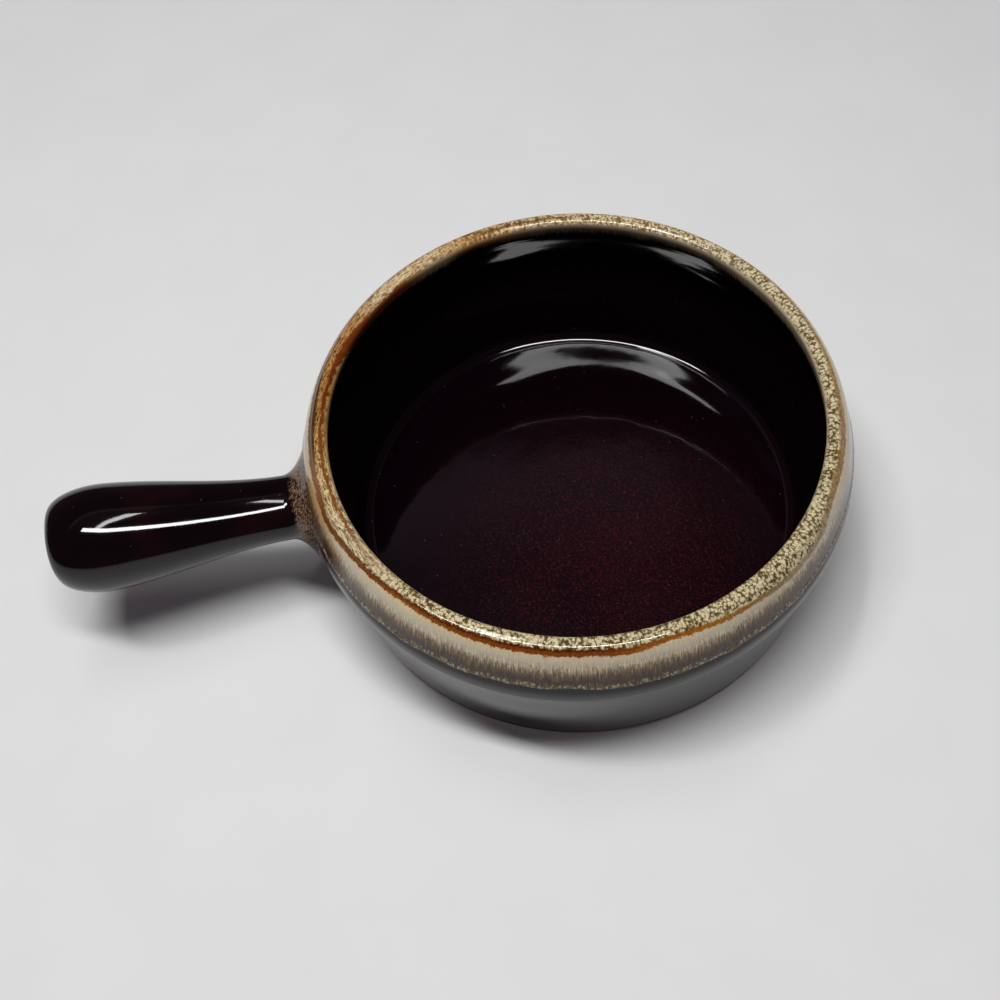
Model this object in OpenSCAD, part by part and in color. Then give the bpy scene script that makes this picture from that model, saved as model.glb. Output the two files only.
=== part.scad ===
// Soup bowl in glazed stoneware with one stick handle, in millimetres.
// The origin is on the bowl's axis, where the foot meets the table.
// +Z is up and the handle points along -X. Both sides of the XZ plane are alike.

/* [Bowl] */
// Height of the rim above the table
bowl_h = 78.5; // [68:0.5:95]
// Outer radius of the belly, the bowl's widest place
belly_r = 106.2; // [85:0.2:130]
// Drop from the rim to the belly
belly_drop = 25.5; // [22:0.5:30]
// How far the rim's crest lies in from the belly
mouth_in = 10; // [7:0.2:13]
// Thickness of the rounded rim
rim_t = 5.8; // [4:0.2:8]
// How far the waist lies in from the belly, where the lower wall starts
waist_in = 3.6; // [2:0.2:6]
// Drop from the belly to the waist
waist_drop = 9; // [6:0.5:12]
// How far the bottom of the lower wall lies in from the belly
base_in = 8.8; // [5:0.2:14]
// How far the lower wall swells out of a straight line
lower_swell = 0.6; // [0:0.1:2]
// Thickness of the wall at the belly
belly_wall = 9; // [7:0.5:11]
// Thickness of the wall at the waist
wall_t = 5.8; // [4:0.2:8]
// Thickness of the wall at the floor's corner
base_wall = 8.2; // [6:0.2:10]
// Thickness of the clay floor
floor_t = 5.1; // [3.5:0.1:8]
// Radius of the corner between the floor and the wall
corner_r = 6; // [3:0.5:12]

/* [Foot] */
// Height of the bare foot ring
foot_h = 2.6; // [1.6:0.1:5]
// How far the foot ring lies inside the bottom of the wall
foot_inset = 2.2; // [1.2:0.1:6]
// Width of the foot ring
foot_w = 8; // [5:0.5:14]
// Bevel round the foot ring's lower edges
foot_bevel = 0.8; // [0.2:0.1:1.4]

/* [Glaze] */
// Thickness of the brown glaze
glaze_t = 0.5; // [0.3:0.05:0.8]
// How far the cream drip glaze stands proud of the brown
drip_rise = 0.35; // [0.1:0.05:0.6]
// Run of the drip glaze down the outside, from the rim's top
drip_out = 19; // [12:0.5:21]
// Run of the drip glaze down the inside, from the rim's top
drip_in = 11; // [7:0.5:18]
// Height of the glaze's lower edge, which stands upright over the foot
lip_h = 0.8; // [0.4:0.1:2]

/* [Handle] */
// Length of the handle from its neck to its tip
handle_length = 86.8; // [70:0.2:110]
// How far the neck, the handle's slimmest place, stands out from the belly
neck_out = 7.3; // [5:0.1:12]
// Length of the flare from the neck towards the wall
flare_l = 10; // [6:0.5:16]
// Width of the neck
neck_w = 25.6; // [20:0.2:32]
// Thickness of the neck
neck_t = 20.8; // [15:0.2:26]
// Width of the grip
grip_w = 41.2; // [32:0.2:50]
// Thickness of the grip
grip_t = 37.5; // [26:0.5:42]
// Width of the flare where it meets the wall
flare_w = 48; // [38:0.5:60]
// Thickness of the flare where it meets the wall
flare_t = 35; // [28:0.5:40]
// Length of the rounded end
end_l = 23.5; // [12:0.5:30]
// How far the neck's centre lies below the belly
root_drop = 3.9; // [2:0.1:9]
// Rise of the handle from the neck to the tip
tip_rise = 3.8; // [0:0.2:20]

/* [Hidden] */
$fn = 180;

clay_color = "#c9b79c";
brown_color = "#2a181c";
cream_color = "#cbb692";

// Radii of the bowl's main places
mouth_r = belly_r - mouth_in;
waist_r = belly_r - waist_in;
base_r = belly_r - base_in;

// Heights of the bowl's main places
belly_z = bowl_h - belly_drop;
waist_z = belly_z - waist_drop;
rim_z = bowl_h - drip_rise - rim_t / 2;
floor_z = foot_h + floor_t + glaze_t;
corner_z = floor_z + corner_r;
lip_z = foot_h + lip_h;

// Steps on a smooth curve between two stations, and least gap between its points
curve_steps = 4;
least_step_share = 0.02;
least_step = least_step_share * rim_t;
arc_steps = 14;
corner_steps = 8;
seam_turn = 101;

// The rim starts on the shoulder and ends upright inside. Its power makes its top flat and its corners tight
rim_from = 30;
rim_to = 180;
rim_power = 2.8;
// The floor's corner starts at the lean of the inner wall and ends level
corner_from = -10;
corner_to = -90;

// Shares of the way up and of the way out: waist to belly
roll_shares = [[0.33, 0.28], [0.61, 0.72], [0.83, 0.94]];
// Shares of the way up and of the way in: belly to rim
shoulder_shares = [[0.168, 0.043], [0.314, 0.187], [0.545, 0.375], [0.755, 0.55], [0.92, 0.78]];
// Shares of the way down and of the way out: rim to the belly's inside
inner_shares = [[0.234, 0.15], [0.55, 0.56], [0.82, 0.9]];

// Handle: points round a section, rings along it, and the powers of its round shapes
side_count = 40;
grip_rings = 14;
end_rings = 8;
flare_rings = 6;
section_power = 2.2;
end_power = 2.4;
end_flat_share = 0.53;
grip_share = 0.86;

// A smooth curve through points. Its direction at each point is that of the neighbours on both sides
function slope_at(p, i) =
    let (a = p[max(i - 1, 0)], b = p[i], c = p[min(i + 1, len(p) - 1)])
        (c - a) / (norm(b - a) + norm(c - b));

function stretch(a, b, slope_a, slope_b, t) =
    let (l = norm(b - a))
        a * (1 - 3 * t ^ 2 + 2 * t ^ 3) + b * (3 * t ^ 2 - 2 * t ^ 3)
        + l * slope_a * (t - 2 * t ^ 2 + t ^ 3) + l * slope_b * (t ^ 3 - t ^ 2);

function smooth_curve(p) =
    let (last = len(p) - 1) [
        for (i = [0 : last - 1], k = [0 : curve_steps - 1])
            stretch(p[i], p[i + 1], slope_at(p, i), slope_at(p, i + 1), k / curve_steps),
        p[last]
    ];

function squared(c, power) = sign(c) * abs(c) ^ (2 / power);

// An arc from one angle to another. It is round at a power of 2, and squarer above
function arc(centre, r, from, to, steps, power = 2) = [
    for (k = [0 : steps])
        let (a = from + (to - from) * k / steps)
            centre + r * [squared(cos(a), power), squared(sin(a), power)]
];

function between(from, to, shares) = [
    for (s = shares) [from.x + (to.x - from.x) * s[1], from.y + (to.y - from.y) * s[0]]
];

function radius_at(curve, z) = lookup(z, [for (p = curve) [p.y, p.x]]);

// The glazed surface of the bowl, as one line from the foot, over the rim, to the floor's middle
base_point = [base_r, lip_z];
waist_point = [waist_r, waist_z];
belly_point = [belly_r, belly_z];
rim_arc = arc([mouth_r, rim_z], rim_t / 2, rim_from, rim_to, arc_steps, rim_power);
swell_point = (base_point + waist_point) / 2 + [lower_swell, 0];

outer_curve = smooth_curve(concat(
    [base_point, swell_point, waist_point],
    between(waist_point, belly_point, roll_shares),
    [belly_point],
    between(belly_point, rim_arc[0], shoulder_shares),
    [rim_arc[0]]));

inner_belly = [belly_r - belly_wall, belly_z];
inner_waist = [waist_r - wall_t, waist_z];
inner_base = [radius_at(outer_curve, corner_z) - base_wall, corner_z];

inner_curve = smooth_curve(concat(
    [rim_arc[arc_steps]],
    between(rim_arc[arc_steps], inner_belly, inner_shares),
    [inner_belly, inner_waist, (inner_waist + inner_base) / 2, inner_base]));

corner_arc = arc(inner_base - [corner_r, 0], corner_r, corner_from, corner_to, corner_steps);

// The drip glaze's two edges cut that line
out_edge = [radius_at(outer_curve, bowl_h - drip_out), bowl_h - drip_out];
in_edge = [radius_at([for (i = [len(inner_curve) - 1 : -1 : 0]) inner_curve[i]], bowl_h - drip_in),
           bowl_h - drip_in];

function below(curve, z) = [for (p = curve) if (p.y < z - least_step) p];
function above(curve, z) = [for (p = curve) if (p.y > z + least_step) p];

outer_low = concat([[base_r, foot_h]], below(outer_curve, out_edge.y));
rim_zone = concat(above(outer_curve, out_edge.y), [for (i = [1 : arc_steps]) rim_arc[i]],
                  [for (p = above(inner_curve, in_edge.y)) if (p.y < rim_z - least_step) p]);
inner_low = concat([for (p = below(inner_curve, in_edge.y)) if (p.y > corner_z + least_step) p],
                   corner_arc, [[0, floor_z]]);

skin = concat(outer_low, [out_edge], rim_zone, [in_edge], inner_low);
drip_from = len(outer_low);
drip_to = drip_from + len(rim_zone) + 1;

function normal_at(p, i) =
    let (d = p[min(i + 1, len(p) - 1)] - p[max(i - 1, 0)]) [d.y, -d.x] / norm(d);

// The clay lies one coat of glaze under the skin
clay = [for (i = [0 : len(skin) - 1]) skin[i] - glaze_t * normal_at(skin, i)];

// The drip glaze stands proud, and thins out to nothing at its inner edge
drip_fade = arc_steps;
drip_skin = [
    for (i = [drip_from : drip_to])
        skin[i] + drip_rise * min(1, (drip_to - i) / drip_fade) * normal_at(skin, i)
];

function part_of(list, from, to) = [for (i = [from : to]) list[i]];
function reversed(list) = [for (i = [len(list) - 1 : -1 : 0]) list[i]];

// A solid turned about the bowl's axis, with its seam away from the handle
module turned(outline) {
    rotate([0, 0, seam_turn]) rotate_extrude() polygon(outline);
}

module coat(top, under) {
    turned(concat(top, reversed(under)));
}

// The clay bowl, filled to its axis, which cuts what is joined to its wall
module wall_cutter() {
    crest = len(outer_low) + len(above(outer_curve, out_edge.y));
    turned(concat([[0, foot_h]], part_of(clay, 0, crest), [[0, clay[crest].y]]));
}

// Handle: sizes at a reach from the axis. The parameter coat is 0 on the glaze and glaze_t on the clay
neck_reach = belly_r + neck_out;
tip_reach = neck_reach + handle_length;
end_from = tip_reach - end_l;
grip_from = neck_reach + handle_length * grip_share;
root_in = base_r - flare_w / 4;
neck_z = belly_z - root_drop;

function clamp01(t) = max(0, min(1, t));
function eased(t) = let (u = clamp01(t)) u * u * (3 - 2 * u);
function grip_part(x) = eased((x - neck_reach) / (grip_from - neck_reach));
function flare_part(x) = clamp01((neck_reach - x) / flare_l) ^ 2;
function end_part(x, coat) =
    let (u = clamp01((x - end_from) / (end_l - coat)))
        end_flat_share + (1 - end_flat_share) * (1 - u ^ end_power) ^ (1 / end_power);

function half_size(x, neck, grip, flare, coat) =
    let (size = neck + (grip - neck) * grip_part(x) + (flare - neck) * flare_part(x))
        (size - 2 * coat) / 2 * end_part(x, coat);

function centre_z(x) = neck_z + tip_rise * (x - neck_reach) / handle_length;

function ring(x, coat) =
    let (w = half_size(x, neck_w, grip_w, flare_w, coat), t = half_size(x, neck_t, grip_t, flare_t, coat))
        [for (k = [0 : side_count - 1])
            let (a = 360 * (k + 0.5) / side_count)
                [-x, w * squared(cos(a), section_power), centre_z(x) + t * squared(sin(a), section_power)]];

function handle_rings(coat) = [
    for (k = [0 : grip_rings - 1]) ring(neck_reach + (end_from - neck_reach) * k / grip_rings, coat),
    for (k = [0 : end_rings]) ring(end_from + (end_l - coat) * sin(90 * k / end_rings), coat)
];

function collar_rings(coat) = [
    ring(root_in, coat),
    for (k = [0 : flare_rings]) ring(neck_reach - flare_l * (1 - k / flare_rings), coat)
];

// Faces between neighbouring rings, from ring 'first' on, and a flat face on one ring
function band_faces(first, rings) = [
    for (r = [first : first + rings - 2], k = [0 : side_count - 1])
        let (a = r * side_count + k, b = r * side_count + (k + 1) % side_count)
            each [[a, b, a + side_count], [b, b + side_count, a + side_count]]
];
function flipped(faces) = [for (f = faces) reversed(f)];
function cap_face(r) = [for (k = [0 : side_count - 1]) r * side_count + k];
function join_faces(r, s) = [
    for (k = [0 : side_count - 1])
        let (n = (k + 1) % side_count)
            each [[r * side_count + k, s * side_count + k, r * side_count + n],
                  [r * side_count + n, s * side_count + k, s * side_count + n]]
];
function flat(list) = [for (a = list) each a];

// A solid through rings, closed by a flat face at each end
module lofted(rings) {
    n = len(rings);
    polyhedron(flat(rings), concat(band_faces(0, n), [reversed(cap_face(0)), cap_face(n - 1)]));
}

// A coat between outer and inner rings. It is open at the first rings' end, where its rim is flat,
// and at the last rings' end it is closed, or open too
module lofted_coat(outer, inner, closed_end) {
    n = len(outer);
    ends = closed_end ? [cap_face(n - 1), reversed(cap_face(2 * n - 1))] : join_faces(2 * n - 1, n - 1);
    polyhedron(flat(concat(outer, inner)),
               concat(band_faces(0, n), flipped(band_faces(n, n)), join_faces(0, n), ends));
}

module bowl_body() {
    color(clay_color)
        turned(concat([[0, foot_h]], clay));
}

module foot_ring() {
    foot_r = base_r - foot_inset;
    inner_r = foot_r - foot_w;
    color(clay_color)
        turned([
            [inner_r, foot_h], [inner_r, foot_bevel], [inner_r + foot_bevel, 0],
            [foot_r - foot_bevel, 0], [foot_r, foot_bevel], [foot_r, foot_h]
        ]);
}

module handle() {
    color(clay_color) lofted(handle_rings(glaze_t));
}

module handle_collar() {
    color(clay_color)
        difference() {
            lofted(collar_rings(glaze_t));
            wall_cutter();
        }
}

module liner_glaze() {
    color(brown_color)
        coat(part_of(skin, drip_to, len(skin) - 1), part_of(clay, drip_to, len(clay) - 1));
}

module outer_glaze() {
    color(brown_color)
        difference() {
            coat(part_of(skin, 0, drip_from), part_of(clay, 0, drip_from));
            lofted(collar_rings(0));
        }
}

module base_glaze() {
    color(brown_color)
        translate([0, 0, foot_h - glaze_t])
            cylinder(h = glaze_t, r = base_r - foot_inset - foot_w);
}

module rim_drip_glaze() {
    color(cream_color)
        difference() {
            coat(drip_skin, part_of(clay, drip_from, drip_to));
            lofted(collar_rings(0));
        }
}

module handle_glaze() {
    color(brown_color) lofted_coat(handle_rings(0), handle_rings(glaze_t), true);
}

module collar_drip_glaze() {
    color(cream_color)
        difference() {
            lofted_coat(collar_rings(0), collar_rings(glaze_t), false);
            wall_cutter();
        }
}

bowl_body();
foot_ring();
handle();
handle_collar();
liner_glaze();
outer_glaze();
base_glaze();
rim_drip_glaze();
handle_glaze();
collar_drip_glaze();
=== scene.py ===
"""Looks of the stick-handled stoneware soup bowl: its glaze coats, drip rim, bare foot and handle.

Meshes are in metres and in the frame's own axes: +Z up, the handle along -X, the foot on z = 0.
Materials count in millimetres. Headings are degrees round the bowl: 0 away from the handle, 90 at the
far side, 180 at the handle and 270 at the near side. A run is the path over the skin from the rim's
crest, and it is negative inside the bowl.
"""

import logging
import math
from collections.abc import Callable, Sequence
from dataclasses import dataclass, field
from enum import Enum
from functools import cached_property

import bmesh
import bpy
from mathutils import Matrix, Vector, noise
from mathutils.geometry import interpolate_bezier


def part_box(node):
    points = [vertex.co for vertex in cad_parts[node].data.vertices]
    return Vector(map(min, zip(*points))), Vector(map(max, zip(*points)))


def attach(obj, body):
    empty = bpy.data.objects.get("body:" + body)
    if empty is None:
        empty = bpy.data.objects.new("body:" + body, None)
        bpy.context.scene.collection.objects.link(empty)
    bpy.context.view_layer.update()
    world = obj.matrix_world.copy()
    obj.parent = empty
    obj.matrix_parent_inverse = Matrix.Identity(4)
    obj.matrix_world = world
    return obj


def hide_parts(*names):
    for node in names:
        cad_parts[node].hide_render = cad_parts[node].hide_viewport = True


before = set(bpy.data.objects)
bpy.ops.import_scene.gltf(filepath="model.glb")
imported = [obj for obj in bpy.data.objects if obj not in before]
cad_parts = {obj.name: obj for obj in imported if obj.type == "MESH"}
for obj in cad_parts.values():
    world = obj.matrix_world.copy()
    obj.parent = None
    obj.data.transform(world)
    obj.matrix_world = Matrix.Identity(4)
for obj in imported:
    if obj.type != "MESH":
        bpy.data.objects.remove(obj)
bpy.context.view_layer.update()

LOG = logging.getLogger("soup_bowl")
MM = 0.001
BODY = "root"
RUN = "run"
MERGE = 0.001 * MM
BEYOND = 60 * MM  # the run of pieces that lie off the bowl's own skin line
FULL_TURN = (0.0, 360.0)

Colour = tuple[float, float, float, float]
Tones = tuple[tuple[float, Colour], ...]
Levels = tuple[tuple[float, float], ...]
Outline = list[tuple[Vector, float]]
Station = Callable[[int], tuple[Vector, float]]
Socket = bpy.types.NodeSocket


def srgb(red: int, green: int, blue: int) -> Colour:
    """Turns a screen colour into the linear colour that a shader socket takes.

    Args:
        red: Red, 0 to 255.
        green: Green, 0 to 255.
        blue: Blue, 0 to 255.

    Returns:
        The linear colour with full alpha.
    """
    def linear(level: int) -> float:
        """One channel's linear level."""
        share = level / 255
        return share / 12.92 if share <= 0.04045 else ((share + 0.055) / 1.055) ** 2.4

    return linear(red), linear(green), linear(blue), 1.0


def tones(*rows: tuple[float, int, int, int]) -> Tones:
    """Colour stops from rows that each hold a heading or run and a screen colour."""
    return tuple((at, srgb(red, green, blue)) for at, red, green, blue in rows)


def eased(share: float) -> float:
    """Eases a share from 0 to 1 in and out, and holds it at both ends."""
    held = min(max(share, 0.0), 1.0)
    return held * held * (3 - 2 * held)


def squared(cosine: float, power: float) -> float:
    """One coordinate of a unit superellipse, which is round at a power of 2 and squarer above."""
    return math.copysign(abs(cosine) ** (2 / power), cosine)


def headings(start: float, end: float, steps: int) -> list[float]:
    """Evenly spaced headings from start to end in degrees, as radians."""
    return [math.radians(start + (end - start) * k / steps) for k in range(steps + 1)]


def arc(centre: Vector, radius: float, start: float, end: float, steps: int) -> list[Vector]:
    """Points along an arc.

    Args:
        centre: The arc's centre.
        radius: Its radius.
        start: The heading of its first point, in degrees.
        end: The heading of its last point, in degrees.
        steps: Steps between them.

    Returns:
        The points, ends included.
    """
    return [centre + radius * Vector((math.cos(turn), math.sin(turn)))
            for turn in headings(start, end, steps)]


def smooth_curve(points: Sequence[Vector], steps: int) -> list[Vector]:
    """Draws a smooth curve through points.

    Args:
        points: The points it passes, at least two.
        steps: Steps between two points.

    Returns:
        The points along the curve, ends included.
    """
    last = len(points) - 1

    def slope(i: int) -> Vector:
        """The curve's direction at a point."""
        before, here, after = points[max(i - 1, 0)], points[i], points[min(i + 1, last)]
        return (after - before) / ((here - before).length + (after - here).length)

    curve: list[Vector] = []
    for i in range(last):
        third = (points[i + 1] - points[i]).length / 3
        stretch = interpolate_bezier(points[i], points[i] + slope(i) * third,
                                     points[i + 1] - slope(i + 1) * third, points[i + 1], steps + 1)
        curve += stretch[:-1]
    return curve + [points[last].copy()]


class Graph:
    """A node graph, with one short call for each node."""

    def __init__(self, owner: bpy.types.Material | bpy.types.World) -> None:
        """Takes over a node tree.

        Args:
            owner: The material or world that the tree belongs to.
        """
        owner.use_nodes = True
        self.owner = owner
        self.nodes = owner.node_tree.nodes
        self.links = owner.node_tree.links
        self.nodes.clear()

    def node(self, kind: str, inputs: dict[str | int, object] | None = None,
             **settings: object) -> bpy.types.Node:
        """Adds a node.

        Args:
            kind: The node's type name.
            inputs: Values or sockets for its inputs, by name or index.
            settings: Values for its own properties.

        Returns:
            The node.
        """
        made = self.nodes.new(kind)
        for name, value in settings.items():
            setattr(made, name, value)
        for key, value in (inputs or {}).items():
            if isinstance(value, Socket):
                self.links.new(value, made.inputs[key])
            else:
                made.inputs[key].default_value = value
        return made

    def math(self, operation: str, first: object, second: object = 0.0, third: object = 0.0) -> Socket:
        """Adds a Math node and returns its output."""
        return self.node("ShaderNodeMath", {0: first, 1: second, 2: third}, operation=operation).outputs[0]

    def times(self, first: object, *others: object) -> Socket:
        """Multiplies numbers.

        Args:
            first: The first number.
            others: The others.

        Returns:
            Their product.
        """
        for other in others:
            first = self.math("MULTIPLY", first, other)
        return first

    def plus(self, first: object, second: object, share: object = 1.0) -> Socket:
        """Adds a share of the second number to the first."""
        return self.math("MULTIPLY_ADD", second, share, first)

    def minus(self, first: object, second: object) -> Socket:
        """Takes the second number from the first."""
        return self.math("SUBTRACT", first, second)

    def vector(self, operation: str, first: object, second: object = (0.0, 0.0, 0.0)) -> Socket:
        """Adds a Vector Math node and returns its vector output."""
        return self.node("ShaderNodeVectorMath", {0: first, 1: second}, operation=operation).outputs[0]

    def scaled(self, vector: Socket, share: object) -> Socket:
        """Scales a vector or a colour by a number."""
        return self.node("ShaderNodeVectorMath", {0: vector, "Scale": share}, operation="SCALE").outputs[0]

    def length(self, vector: Socket) -> Socket:
        """The length of a vector."""
        return self.node("ShaderNodeVectorMath", {0: vector}, operation="LENGTH").outputs["Value"]

    def join(self, x: object, y: object, z: object) -> Socket:
        """Joins three numbers into a vector."""
        return self.node("ShaderNodeCombineXYZ", {0: x, 1: y, 2: z}).outputs[0]

    def split(self, vector: Socket) -> bpy.types.NodeOutputs:
        """Splits a vector into three sockets."""
        return self.node("ShaderNodeSeparateXYZ", {0: vector}).outputs

    def place(self) -> Socket:
        """The place on the object, in millimetres."""
        return self.scaled(self.node("ShaderNodeTexCoord").outputs["Object"], 1 / MM)

    def cloud(self, vector: Socket, size: float, detail: float = 2.0, roughness: float = 0.5) -> Socket:
        """Adds a noise whose blots are about size millimetres across, and returns its level."""
        return self.node("ShaderNodeTexNoise", {"Vector": vector, "Scale": 1 / size, "Detail": detail,
                                                "Roughness": roughness}).outputs["Fac"]

    def sway(self, vector: Socket, size: float, detail: float = 2.0, roughness: float = 0.5) -> Socket:
        """The same noise about zero."""
        return self.minus(self.cloud(vector, size, detail, roughness), 0.5)

    def cells(self, vector: Socket, size: float) -> Socket:
        """Adds a cell pattern whose cells are about size millimetres across, and returns its distance."""
        return self.node("ShaderNodeTexVoronoi", {"Vector": vector, "Scale": 1 / size}).outputs["Distance"]

    def ease(self, value: Socket, start: float, end: float, low: float = 0.0, high: float = 1.0) -> Socket:
        """Maps a value to a number, eased and held at both ends.

        Args:
            value: The value.
            start: The value that gives low.
            end: The value that gives high, which may be the smaller one.
            low: The number at the start.
            high: The number at the end.

        Returns:
            The number.
        """
        return self.node("ShaderNodeMapRange", {"Value": value, "From Min": start, "From Max": end,
                                                "To Min": low, "To Max": high},
                         interpolation_type="SMOOTHSTEP").outputs["Result"]

    def blend(self, share: object, first: object, second: object, kind: str = "MIX") -> Socket:
        """Blends the second colour over the first.

        Args:
            share: How much of it shows, 0 to 1.
            first: The colour below.
            second: The colour above.
            kind: The way they blend.

        Returns:
            The colour.
        """
        return self.node("ShaderNodeMix", {0: share, 6: first, 7: second},
                         data_type="RGBA", blend_type=kind).outputs[2]

    def ramp(self, value: Socket, stops: Tones, span: tuple[float, float]) -> Socket:
        """Colours a value by stops.

        Args:
            value: The value.
            stops: Values in rising order, each with its colour.
            span: The lowest and highest value.

        Returns:
            The colour.
        """
        low, high = span
        share = self.node("ShaderNodeMapRange", {"Value": value, "From Min": low, "From Max": high})
        band = self.node("ShaderNodeValToRGB", {0: share.outputs["Result"]})
        elements = band.color_ramp.elements
        while len(elements) < len(stops):
            elements.new(1.0)
        for element, (at, colour) in zip(elements, stops):
            element.position = (at - low) / (high - low)
            element.color = colour
        return band.outputs["Color"]

    def level(self, value: Socket, stops: Levels, span: tuple[float, float]) -> Socket:
        """Maps a value to a number by stops.

        Args:
            value: The value.
            stops: Values in rising order, each with its number.
            span: The lowest and highest value.

        Returns:
            The number.
        """
        low = min(number for _, number in stops)
        high = max(number for _, number in stops)
        greys = tuple((at, (*[(number - low) / (high - low)] * 3, 1.0)) for at, number in stops)
        return self.math("MULTIPLY_ADD", self.split(self.ramp(value, greys, span))[0], high - low, low)

    def bump(self, height: Socket, depth: float, under: Socket | None = None) -> Socket:
        """Adds a bump.

        Args:
            height: Its level, 0 to 1.
            depth: Its depth in millimetres.
            under: The normal of an earlier bump that it lies on.

        Returns:
            The normal.
        """
        inputs: dict[str | int, object] = {"Height": height, "Distance": depth * MM, "Strength": 1.0}
        if under is not None:
            inputs["Normal"] = under
        return self.node("ShaderNodeBump", inputs).outputs["Normal"]

    def output(self, kind: str, shader: Socket) -> None:
        """Ends the graph in an output node."""
        self.node(kind, {"Surface": shader})

    def finish(self, **sockets: object) -> bpy.types.Material:
        """Ends the graph in a principled shader.

        Args:
            sockets: The shader's inputs by name, with _ for a space.

        Returns:
            The material.
        """
        inputs = {name.replace("_", " "): value for name, value in sockets.items()}
        shader = self.node("ShaderNodeBsdfPrincipled", inputs).outputs["BSDF"]
        self.output("ShaderNodeOutputMaterial", shader)
        return self.owner


class CoatGraph(Graph):
    """A glaze coat's graph, with the places and noises that all its patterns share."""

    rim_r: float = 98.0

    def __init__(self, name: str) -> None:
        """Starts a material of that name."""
        super().__init__(bpy.data.materials.new(name))

    @cached_property
    def spot(self) -> Socket:
        """The place on the object."""
        return self.place()

    @cached_property
    def run(self) -> Socket:
        """The run, which the mesh carries."""
        read = self.node("ShaderNodeAttribute", attribute_name=RUN, attribute_type="GEOMETRY")
        return self.times(read.outputs["Fac"], 1 / MM)

    @cached_property
    def heading(self) -> Socket:
        """Works out the heading round the bowl.

        Returns:
            The heading, 0 to 360.
        """
        parts = self.split(self.spot)
        turn = self.times(self.math("ARCTAN2", parts[1], parts[0]), 180 / math.pi)
        return self.plus(turn, self.math("LESS_THAN", turn, 0.0), FULL_TURN[1])

    def tone(self, stops: Tones) -> Socket:
        """A colour by the heading."""
        return self.ramp(self.heading, stops, FULL_TURN)

    def amount(self, stops: Levels) -> Socket:
        """A number by the heading."""
        return self.level(self.heading, stops, FULL_TURN)

    def unrolled(self, along: float, across: float = 1.0) -> Socket:
        """A place on the unrolled wall, for a pattern.

        Args:
            along: How many times longer the pattern is down the flow.
            across: How many times longer the pattern is round the rim.

        Returns:
            The place round the rim, with the run as its third number.
        """
        out = self.vector("NORMALIZE", self.vector("MULTIPLY", self.spot, (1.0, 1.0, 0.0)))
        around = self.split(self.scaled(out, self.rim_r / across))
        return self.join(around[0], around[1], self.times(self.run, 1 / along))

    @cached_property
    def fine(self) -> Socket:
        """The fine streaks' sway, drawn out down the flow."""
        return self.sway(self.unrolled(13.0), 0.55, roughness=0.65)

    @cached_property
    def broad(self) -> Socket:
        """The broad streaks' sway, drawn out down the flow."""
        return self.sway(self.unrolled(13.0), 7.0)

    @cached_property
    def grain(self) -> Socket:
        """The glaze's grain, hardly drawn out."""
        return self.sway(self.unrolled(1.2), 0.42, roughness=0.65)

    @cached_property
    def ragged(self) -> Socket:
        """Stirs the run by streaks, patches and grain, for the ragged edges of the bands.

        Returns:
            The stirred run.
        """
        streaks = self.plus(self.fine, self.broad, 0.8)
        patches = self.plus(streaks, self.sway(self.unrolled(1.2), 1.9, 1.0), 1.5)
        return self.plus(self.run, self.plus(patches, self.grain, 1.8))


class Coat(Enum):
    """The glaze coats, each with its material's name."""

    LINER = "brown_liner"
    OUTER = "brown_gloss"
    DRIP = "cream_drip"
    COLLAR = "mottled_drip"
    HANDLE = "handle_gloss"


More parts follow.
